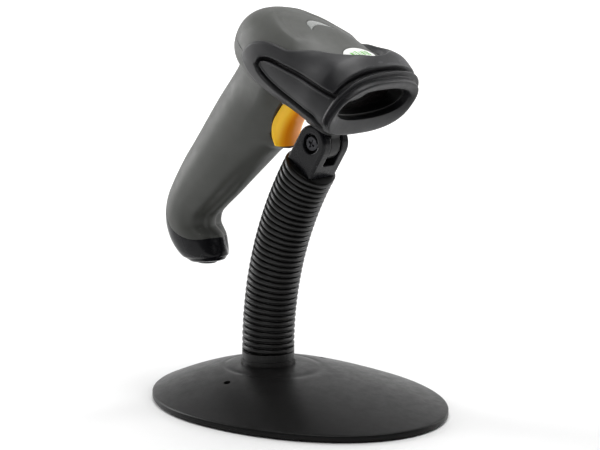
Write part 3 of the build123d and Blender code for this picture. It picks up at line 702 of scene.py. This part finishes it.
def butt_cap():
    """The black cap at the butt, with the flute running on into it."""
    angles = full_turn(CAP_COLUMNS)
    first = cap_seam(angles) + 0.03
    share = np.linspace(0, 1, CAP_ROWS)
    points = np.empty((CAP_ROWS, CAP_COLUMNS, 3))
    for column in range(CAP_COLUMNS):
        steps = first[column] + share * (CAP_LAST_STEP - first[column])
        proud = 0.1 - 0.5 * ramp(steps, 11.3, 11.5)
        points[:, column] = grip_grid(steps, angles[column:column + 1], proud[:, None])[:, 0]
    top, end = points[:1], points[-1:]
    tuck = top + (top.mean(axis=1, keepdims=True) - top) * 0.09
    middle = end.mean(axis=1, keepdims=True)
    closing = [middle + (end - middle) * left + [[[0.0, 0.0, -drop]]] for left, drop in CAP_CLOSING]
    piece = make_piece("butt_cover", to_world(np.concatenate([tuck, points, *closing])), wrap=True)
    recalc(piece)
    return piece


def trigger():
    """The trigger: a thick curved blade, well rounded across its front."""
    rear = dense(((39.2, -9.5), (37.4, -15.0), (35.3, -24.0), (37.4, -31.0), (41.6, -35.0)), 10)
    front = dense(((44.4, -34.6), (43.2, -28.0), (44.0, -20.0),
                   (46.6, -12.6), (47.4, -7.0), (46.4, -2.0)), 10)
    outline = np.concatenate([rear, front, [(38.8, -2.0), (38.2, -6.0)]])
    thickness = np.zeros(len(outline))
    facing = slice(len(rear), len(rear) + len(front))
    by_level = rear[np.argsort(rear[:, 1])]
    thickness[facing] = front[:, 0] - np.interp(front[:, 1], by_level[:, 1], by_level[:, 0])
    rows = []
    for f in np.sin(np.linspace(-math.pi / 2, math.pi / 2, 81)):
        row = outline.copy()
        row[:, 0] -= TRIGGER_ROUNDING * thickness * (1 - math.sqrt(max(0.0, 1 - f * f)))
        rows.append(np.stack([row[:, 0], np.full(len(row), TRIGGER_HALF * f), row[:, 1]], -1))
    piece = make_piece("trigger_blade", to_world(np.stack(rows)), wrap=True, caps=(True, True))
    recalc(piece)
    return piece


# ---------------------------------------------------------------- stand

def neck_frame(length):
    """A point on the neck's arc and its lean, this far along from the base."""
    angle = length / BEND_RADIUS
    x = BEND_RADIUS * (1 - np.cos(angle))
    z = NECK_BASE_Z + BEND_RADIUS * np.sin(angle)
    return x, z, angle


def neck_point(length, radius, around):
    """A point on the neck: length along its arc, radius and angle round it."""
    x, z, lean = neck_frame(length)
    ahead = radius * np.cos(around)
    return np.stack([x + ahead * np.cos(lean), radius * np.sin(around), z - ahead * np.sin(lean)], -1) * MM


def rib_profile(phase):
    """Radius of the wound sleeve over one turn: a rounded rib, then a narrow groove."""
    p = phase % 1.0
    rib = np.clip(1 - np.abs((p - RIB_MIDDLE) / RIB_MIDDLE) ** 3.2, 0, 1) ** 0.5
    return GROOVE_RADIUS + (NECK_RADIUS - GROOVE_RADIUS) * rib


def sleeve(index):
    """A stretch of the wound rubber sleeve from the middle of one neck segment to the middle of the next."""
    start = max(index - 0.5, 0) * SEGMENT_LENGTH
    end = min(index + 0.5, SEGMENTS) * SEGMENT_LENGTH
    length = np.linspace(start, end, round((end - start) / PITCH_LENGTH * ROWS_PER_RIB) + 1)[:, None]
    around = full_turn(SLEEVE_COLUMNS)[None, :]
    phase = length / PITCH_LENGTH + (around + WINDING_START) / (2 * math.pi)
    fade = np.where(phase < 0.9, 0.0, 1.0) if index == 0 else 1.0
    radius = rib_profile(phase) * fade + NECK_RADIUS * (1 - fade)
    piece = make_piece("sleeve_%d" % (index + 1), neck_point(length, radius, around), wrap=True)
    ends = [neck_point(np.array(at), 0.0, 0.0).tolist() for at in (start, end)]
    return piece, ends


def flexible_neck():
    """The sleeve in stretches: the outer two ride on one body each, and the others, which each span one
    joint, are left on no body.
    """
    bodies = ["base", *["neck_%d" % k for k in range(2, SEGMENTS)], "yoke"]
    for index in range(SEGMENTS + 1):
        piece, ends = sleeve(index)
        piece.data.set_sharp_from_angle(angle=math.radians(70))
        piece.data.materials.append(SLEEVE)
        if 0 < index < SEGMENTS:
            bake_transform(piece)
        else:
            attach(piece, bodies[min(index, SEGMENTS - 1)])
        if index < SEGMENTS:
            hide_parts("neck_sleeve_%d" % (index + 1))


def collar_ring():
    """The sleeve's last turns, on the collar under the knuckle, closed on top."""
    length = np.linspace(NECK_END, NECK_END + COLLAR_HEIGHT, 40)[:, None]
    around = full_turn(SLEEVE_COLUMNS)[None, :]
    phase = length / PITCH_LENGTH + (around + WINDING_START) / (2 * math.pi)
    rows = [neck_point(length, rib_profile(phase), around)]
    for radius in (11.0, 4.0, 0.0):
        rows.append(neck_point(length[-1:], radius + 0 * around, around))
    return make_piece("collar_turn", np.concatenate(rows), wrap=True)


def egg(spread, around):
    """Plan outline of the base at a given spread: two half ellipses."""
    front = CROWN_RADIUS + (BASE_FRONT - CROWN_RADIUS) * spread
    rear = CROWN_RADIUS + (BASE_REAR - CROWN_RADIUS) * spread
    half = CROWN_RADIUS + (BASE_HALF_WIDTH - CROWN_RADIUS) * spread
    widest = BASE_WIDEST_X * spread
    c = np.cos(around)
    reach = np.where(c > 0, front - widest, rear + widest)
    return widest + reach * c, half * np.sin(around)


def base_dome():
    """The stand's low dome with a rolled rim and two screw holes."""
    around = full_turn(360)
    rows = []
    for spread in np.linspace(0.0, 0.985, 90) ** 0.9:
        x, y = egg(spread, around)
        z = RIM_TOP + (DOME_TOP - RIM_TOP) * (1 - spread ** 1.5)
        crease = 0.35 * math.exp(-((spread - 0.17) / 0.03) ** 2)
        rows.append(np.stack([x, y, np.full(len(around), z - crease)], -1))
    x, y = egg(1.0, around)
    normal = np.stack([x - BASE_WIDEST_X, y * 1.6], -1)
    normal /= np.linalg.norm(normal, axis=1, keepdims=True)
    for inset, z in RIM:
        edge = np.stack([x, y], -1) - inset * normal
        rows.append(np.concatenate([edge, np.full((len(around), 1), z)], axis=1))
    piece = make_piece("base_shell", np.stack(rows) * MM, wrap=True, caps=(True, True))
    recalc(piece)
    for side in (-1, 1):
        piece = cut(piece, post("hole", HOLE_X, side * HOLE_Y, HOLE_RADIUS, 5.0, 30.0))
    return piece


def post(name, x, y, radius, low, high, sides=48):
    """A closed upright cutter."""
    around = full_turn(sides)
    ring = [np.stack([x + radius * np.cos(around), y + radius * np.sin(around), np.full(sides, z)], -1)
            for z in (low, high)]
    piece = make_piece(name, np.stack(ring) * MM, wrap=True, caps=(True, True))
    recalc(piece)
    return piece


# ---------------------------------------------------------------- materials

def shader(name):
    """A new material that uses nodes, with its node tree and that tree's Principled shader."""
    material = bpy.data.materials.new(name)
    material.use_nodes = True
    tree = material.node_tree
    return material, tree, tree.nodes["Principled BSDF"]


def link(tree, a, b):
    tree.links.new(a, b)


def noise(tree, scale, detail=4.0, roughness=0.55):
    place = tree.nodes.get("place") or tree.nodes.new("ShaderNodeTexCoord")
    place.name = "place"
    texture = tree.nodes.new("ShaderNodeTexNoise")
    texture.inputs["Scale"].default_value = scale
    texture.inputs["Detail"].default_value = detail
    texture.inputs["Roughness"].default_value = roughness
    link(tree, place.outputs["Object"], texture.inputs["Vector"])
    return texture.outputs["Fac"]


def remap(tree, value, low, high, out_low, out_high):
    node = tree.nodes.new("ShaderNodeMapRange")
    for key, number in zip(("From Min", "From Max", "To Min", "To Max"), (low, high, out_low, out_high)):
        node.inputs[key].default_value = number
    link(tree, value, node.inputs["Value"])
    return node.outputs["Result"]


def mix_colour(tree, factor, a, b):
    node = tree.nodes.new("ShaderNodeMix")
    node.data_type = "RGBA"
    for socket, value in ((node.inputs[6], a), (node.inputs[7], b)):
        if isinstance(value, tuple):
            socket.default_value = (*value, 1)
        else:
            link(tree, value, socket)
    link(tree, factor, node.inputs[0])
    return node.outputs[2]


def add_bump(tree, shade, heights):
    """Chains bump nodes: (height socket, strength, distance in metres)."""
    last = None
    for height, strength, distance in heights:
        node = tree.nodes.new("ShaderNodeBump")
        node.inputs["Strength"].default_value = strength
        node.inputs["Distance"].default_value = distance
        link(tree, height, node.inputs["Height"])
        if last is not None:
            link(tree, last, node.inputs["Normal"])
        last = node.outputs["Normal"]
    link(tree, last, shade.inputs["Normal"])


def edge_wear_and_highlight(tree):
    """Bright where the surface is a sharp outward edge: partly rubbed wear, partly a painted edge highlight.
    """
    node = tree.nodes.new("ShaderNodeNewGeometry")
    return remap(tree, node.outputs["Pointiness"], 0.54, 0.68, 0.0, 1.0)


def plastic(name, dark, light, rough, grain_scale, grain_height, wear_and_highlight_colour, coat=0.0, specular=0.5, wear_and_highlight_edges=True):
    """Moulded plastic or rubber: fine texture, uneven gloss, faint colour drift and edges painted lighter,
    partly as rubbed wear and partly as a painted highlight.
    """
    material, tree, shade = shader(name)
    drift = noise(tree, 34.0, 3.0)
    fine = noise(tree, grain_scale, 3.0, 0.6)
    smear = noise(tree, 160.0, 5.0, 0.7)
    base = mix_colour(tree, remap(tree, drift, 0.35, 0.65, 0.0, 1.0), dark, light)
    # Lighter colour on sharp outward edges, partly rubbed wear and partly a painted highlight; without these
    # edges, random pale patches of wear instead
    where = edge_wear_and_highlight(tree) if wear_and_highlight_edges else remap(tree, smear, 0.62, 0.9, 0.0, 0.5)
    link(tree, mix_colour(tree, where, base, wear_and_highlight_colour), shade.inputs["Base Color"])
    link(tree, remap(tree, smear, 0.3, 0.7, rough - 0.05, rough + 0.07), shade.inputs["Roughness"])
    shade.inputs["Specular IOR Level"].default_value = specular
    shade.inputs["Coat Weight"].default_value = coat
    shade.inputs["Coat Roughness"].default_value = 0.12
    add_bump(tree, shade, ((fine, 0.5, grain_height), (smear, 0.25, grain_height)))
    return material


def metal(name, dark, light, rough, scratch):
    """Turned or plated metal with fine scratches."""
    material, tree, shade = shader(name)
    drift = noise(tree, 220.0, 4.0)
    fine = noise(tree, scratch, 6.0, 0.7)
    link(tree, mix_colour(tree, drift, dark, light), shade.inputs["Base Color"])
    link(tree, remap(tree, fine, 0.3, 0.7, rough - 0.08, rough + 0.1), shade.inputs["Roughness"])
    shade.inputs["Metallic"].default_value = 1.0
    add_bump(tree, shade, ((fine, 0.3, 0.00004),))
    return material


def orange_with_painted_light(name):
    """The trigger's bright, slightly see-through plastic, with its sides painted yellow as if lit and a faint
    painted glow.
    """
    material, tree, shade = shader(name)
    drift = noise(tree, 60.0, 3.0)
    fine = noise(tree, 2600.0, 3.0)
    smear = noise(tree, 240.0, 4.0)
    axes = tree.nodes.new("ShaderNodeSeparateXYZ")
    link(tree, tree.nodes["place"].outputs["Object"], axes.inputs[0])
    side = tree.nodes.new("ShaderNodeMath")
    side.operation = "ABSOLUTE"
    link(tree, axes.outputs["Y"], side.inputs[0])
    # Painted light: the sides across the trigger turn bright yellow as if lit, while the middle and front
    # stay deep orange as shade
    thin = remap(tree, side.outputs[0], 0.0045, 0.0088, 0.0, 1.0)
    body = mix_colour(tree, drift, (0.78, 0.20, 0.001), (0.84, 0.25, 0.003))
    link(tree, mix_colour(tree, thin, body, (1.0, 0.63, 0.03)), shade.inputs["Base Color"])
    link(tree, remap(tree, smear, 0.3, 0.7, 0.28, 0.4), shade.inputs["Roughness"])
    shade.inputs["Specular IOR Level"].default_value = 0.3
    shade.inputs["Subsurface Weight"].default_value = 0.3
    shade.inputs["Subsurface Radius"].default_value = (1.0, 0.42, 0.05)
    shade.inputs["Subsurface Scale"].default_value = 0.003
    # A faint orange emission: a painted glow over the whole trigger
    shade.inputs["Emission Color"].default_value = (1.0, 0.36, 0.01, 1)
    shade.inputs["Emission Strength"].default_value = 0.16
    add_bump(tree, shade, ((fine, 0.3, 0.00003),))
    return material


def glass(name, colour, rough):
    """Dark filter glass: glossy, faintly tinted, with dust in its sheen."""
    material, tree, shade = shader(name)
    dust = noise(tree, 500.0, 6.0, 0.7)
    drift = noise(tree, 70.0, 2.0)
    link(tree, mix_colour(tree, drift, colour, tuple(c * 1.6 for c in colour)), shade.inputs["Base Color"])
    link(tree, remap(tree, dust, 0.35, 0.75, rough, rough + 0.12), shade.inputs["Roughness"])
    shade.inputs["Coat Weight"].default_value = 0.4
    add_bump(tree, shade, ((dust, 0.08, 0.00002),))
    return material


def circuit(name):
    """Green circuit board with a faint track pattern."""
    material, tree, shade = shader(name)
    place = tree.nodes.new("ShaderNodeTexCoord")
    brick = tree.nodes.new("ShaderNodeTexBrick")
    brick.inputs["Scale"].default_value = 260.0
    brick.inputs["Color1"].default_value = (0.01, 0.13, 0.05, 1)
    brick.inputs["Color2"].default_value = (0.012, 0.17, 0.06, 1)
    brick.inputs["Mortar"].default_value = (0.05, 0.25, 0.09, 1)
    link(tree, place.outputs["Object"], brick.inputs["Vector"])
    link(tree, brick.outputs["Color"], shade.inputs["Base Color"])
    fine = noise(tree, 900.0)
    link(tree, remap(tree, fine, 0.3, 0.7, 0.3, 0.5), shade.inputs["Roughness"])
    add_bump(tree, shade, ((brick.outputs["Fac"], 0.3, 0.00005),))
    return material


def floor_material():
    """Pale paper that glows softly away from the object, so that the backdrop stays white."""
    material, tree, shade = shader("floor_paper")
    drift = noise(tree, 2.5, 2.0)
    fine = noise(tree, 400.0, 3.0)
    link(tree, mix_colour(tree, drift, (0.80, 0.80, 0.80), (0.83, 0.83, 0.83)), shade.inputs["Base Color"])
    link(tree, remap(tree, fine, 0.3, 0.7, 0.6, 0.75), shade.inputs["Roughness"])
    length = tree.nodes.new("ShaderNodeVectorMath")
    length.operation = "LENGTH"
    link(tree, tree.nodes["place"].outputs["Object"], length.inputs[0])
    far = remap(tree, length.outputs["Value"], 0.3, 1.0, 0.0, 0.55)
    link(tree, far, shade.inputs["Emission Strength"])
    shade.inputs["Emission Color"].default_value = (1, 1, 1, 1)
    return material


# ---------------------------------------------------------------- build

GREY = plastic("grey_soft_touch", (0.050, 0.052, 0.046), (0.060, 0.062, 0.056), 0.50, 2600.0, 0.00003,
               (0.11, 0.11, 0.105))
ELASTOMER = plastic("charcoal_elastomer", (0.009, 0.009, 0.0105), (0.013, 0.013, 0.0145), 0.44, 3000.0,
                    0.00003, (0.035, 0.035, 0.038), specular=0.4)
BLACK = plastic("black_satin", (0.006, 0.006, 0.006), (0.010, 0.010, 0.010), 0.36, 2200.0, 0.00002,
                (0.03, 0.03, 0.032), specular=0.3)
GLOSS_BLACK = plastic("black_gloss", (0.005, 0.005, 0.006), (0.009, 0.009, 0.011), 0.24, 1500.0, 0.00001,
                      (0.05, 0.05, 0.055), coat=0.05, specular=0.2)
SLEEVE = plastic("sleeve_rubber", (0.006, 0.006, 0.006), (0.010, 0.0095, 0.0092), 0.38, 2400.0, 0.00002,
                 (0.05, 0.048, 0.046), specular=0.4)
BASE_BLACK = plastic("base_satin", (0.006, 0.006, 0.006), (0.008, 0.0077, 0.0077), 0.36, 2600.0, 0.00003,
                     (0.03, 0.03, 0.031), specular=0.13)
FOOT_RUBBER = plastic("foot_rubber", (0.02, 0.02, 0.02), (0.03, 0.03, 0.03), 0.75, 900.0, 0.00005,
                      (0.05, 0.05, 0.05))
BADGE_WHITE = plastic("badge_white", (0.78, 0.79, 0.76), (0.84, 0.85, 0.82), 0.25, 1800.0, 0.00001,
                      (0.9, 0.9, 0.88), coat=0.4)
MARK_GREEN = plastic("mark_green", (0.07, 0.33, 0.02), (0.10, 0.42, 0.03), 0.3, 1800.0, 0.00001,
                     (0.2, 0.5, 0.1))
LENS = plastic("lens_pale", (0.19, 0.20, 0.19), (0.24, 0.25, 0.24), 0.22, 1500.0, 0.00001, (0.5, 0.5, 0.5),
               coat=0.5)
ORANGE = orange_with_painted_light("trigger_orange")
WINDOW = glass("window_glass", (0.004, 0.003, 0.003), 0.05)
MIRROR = metal("mirror_face", (0.8, 0.8, 0.82), (0.9, 0.9, 0.92), 0.1, 1200.0)
STEEL = metal("steel_plated", (0.30, 0.30, 0.31), (0.45, 0.45, 0.46), 0.28, 1500.0)
DARK_STEEL = metal("steel_black", (0.025, 0.025, 0.028), (0.06, 0.06, 0.065), 0.2, 1500.0)
IRON = metal("cast_iron", (0.05, 0.05, 0.05), (0.10, 0.095, 0.09), 0.6, 400.0)
COPPER = metal("copper_wire", (0.6, 0.25, 0.12), (0.75, 0.35, 0.18), 0.3, 1500.0)
BOARD = circuit("circuit_board")
# The plain CAD nodes' black, without the lighter edges (rubbed wear and painted highlight) that need a fine
# mesh
MOULDED = plastic("moulded_black", (0.006, 0.006, 0.006), (0.010, 0.010, 0.010), 0.40, 2200.0, 0.00002,
                  (0.016, 0.016, 0.017), specular=0.3, wear_and_highlight_edges=False)

SLOT_MATERIALS = {
    "grey_shell": GREY, "elastomer": ELASTOMER, "black_plastic": MOULDED, "gloss_black": MOULDED,
    "window": WINDOW, "lens": LENS, "badge": BADGE_WHITE, "trigger_orange": ORANGE, "sleeve_rubber": SLEEVE,
    "steel": STEEL, "dark_steel": DARK_STEEL, "iron": IRON, "board": BOARD, "mirror": MIRROR,
    "copper": COPPER, "base_black": BASE_BLACK, "foot_rubber": FOOT_RUBBER,
}


def dress_nodes():
    """Gives every CAD node the material of its slot."""
    for node in NODES.values():
        for held in node.material_slots:
            key = held.material.name.split(".")[0] if held.material else ""
            held.material = SLOT_MATERIALS.get(key, MOULDED)


def build():
    dress_nodes()
    finish_piece(top_cover(), "scanner", GREY, "grey_shell", "top_cover", crease=50)
    finish_piece(handle_housing(), "scanner", GREY, "grey_shell", "handle_housing", crease=40)
    finish_piece(nose_bumper(), "scanner", ELASTOMER, "elastomer", "nose_bumper", crease=42)
    finish_piece(window_hood(), "scanner", BLACK, "black_plastic", "window_frame", crease=50)
    finish_piece(butt_cap(), "scanner", GLOSS_BLACK, "gloss_black", "butt_cap", crease=50)
    finish_piece(lens_piece(), "scanner", LENS, "lens", "indicator_lens", crease=50)
    finish_piece(badge_oval(), "scanner", BADGE_WHITE, "badge", "badge_plate", crease=60)
    finish_piece(badge_mark(), "scanner", MARK_GREEN, "badge", crease=50)
    finish_piece(trigger(), "trigger", ORANGE, "trigger_orange", "trigger", crease=40)
    fork = softened("knuckle_fork", "fork_soft", 0.3, 6)
    finish_piece(fork, "yoke", GLOSS_BLACK, "gloss_black", "knuckle_fork")
    screw = softened("pivot_screw", "screw_soft", 0.16, 2)
    finish_piece(screw, "yoke", DARK_STEEL, "dark_steel", "pivot_screw")
    saddle = softened("holder_saddle", "saddle_soft", 0.35, 5)
    finish_piece(saddle, "holder", BLACK, "black_plastic", "holder_saddle")
    finish_piece(collar_ring(), "yoke", SLEEVE, "black_plastic", "top_collar", crease=70)
    finish_piece(base_dome(), "base", BASE_BLACK, "base_black", "base_cover", crease=40)
    flexible_neck()


# ---------------------------------------------------------------- stage

def backdrop():
    """A pale floor that curves up behind the object."""
    profile = [(-1.6, 0.0), (0.9, 0.0)]
    profile += [(0.9 + 0.5 * math.sin(a), 0.5 - 0.5 * math.cos(a)) for a in np.linspace(0.1, math.pi / 2, 16)]
    profile += [(1.4, 1.8)]
    across = np.linspace(-2.4, 2.4, 9)
    turn = Matrix.Rotation(math.radians(45), 3, "Z")
    rows = []
    for along, height in profile:
        rows.append([turn @ Vector((w, along, height)) for w in across])
    floor = make_piece("floor", np.array(rows, float), flip=True)
    floor.data.materials.append(floor_material())


def area_light(name, place, target, size, power):
    data = bpy.data.lights.new(name, "AREA")
    data.shape = "RECTANGLE"
    data.size, data.size_y = size
    data.energy = power
    lamp = bpy.data.objects.new(name, data)
    lamp.location = place
    lamp.rotation_euler = (Vector(target) - Vector(place)).to_track_quat("-Z", "Y").to_euler()
    bpy.context.scene.collection.objects.link(lamp)


def lights():
    world = bpy.data.worlds.new("studio")
    world.use_nodes = True
    back = world.node_tree.nodes["Background"]
    back.inputs["Color"].default_value = (1, 1, 1, 1)
    back.inputs["Strength"].default_value = 0.10
    bpy.context.scene.world = world
    middle = (0.02, 0.0, 0.12)
    area_light("key", (0.55, -0.75, 1.0), middle, (0.6, 0.4), 2.2)
    area_light("left_strip", (-0.85, -0.25, 0.45), middle, (0.25, 0.8), 6.0)
    area_light("top", (0.10, 0.1, 1.1), middle, (0.9, 0.7), 10.0)
    area_light("right_strip", (0.35, 0.85, 0.45), middle, (0.25, 0.8), 3.5)


def look():
    """Plain photographic contrast, without the filmic roll-off."""
    view = bpy.context.scene.view_settings
    view.view_transform = "Standard"
    view.look = "None"
    view.exposure = 0.0


def camera():
    data = bpy.data.cameras.new("camera")
    data.lens = 121.0
    data.sensor_width = 36.0
    data.clip_start, data.clip_end = 0.05, 20.0
    view = bpy.data.objects.new("camera", data)
    view.location = (0.7682, -0.7686, 0.2988)
    direction = Vector((0.0245, 0.0, 0.0988)) - view.location
    view.rotation_euler = direction.to_track_quat("-Z", "Y").to_euler()
    bpy.context.scene.collection.objects.link(view)
    bpy.context.scene.camera = view


build()
backdrop()
lights()
look()
camera()
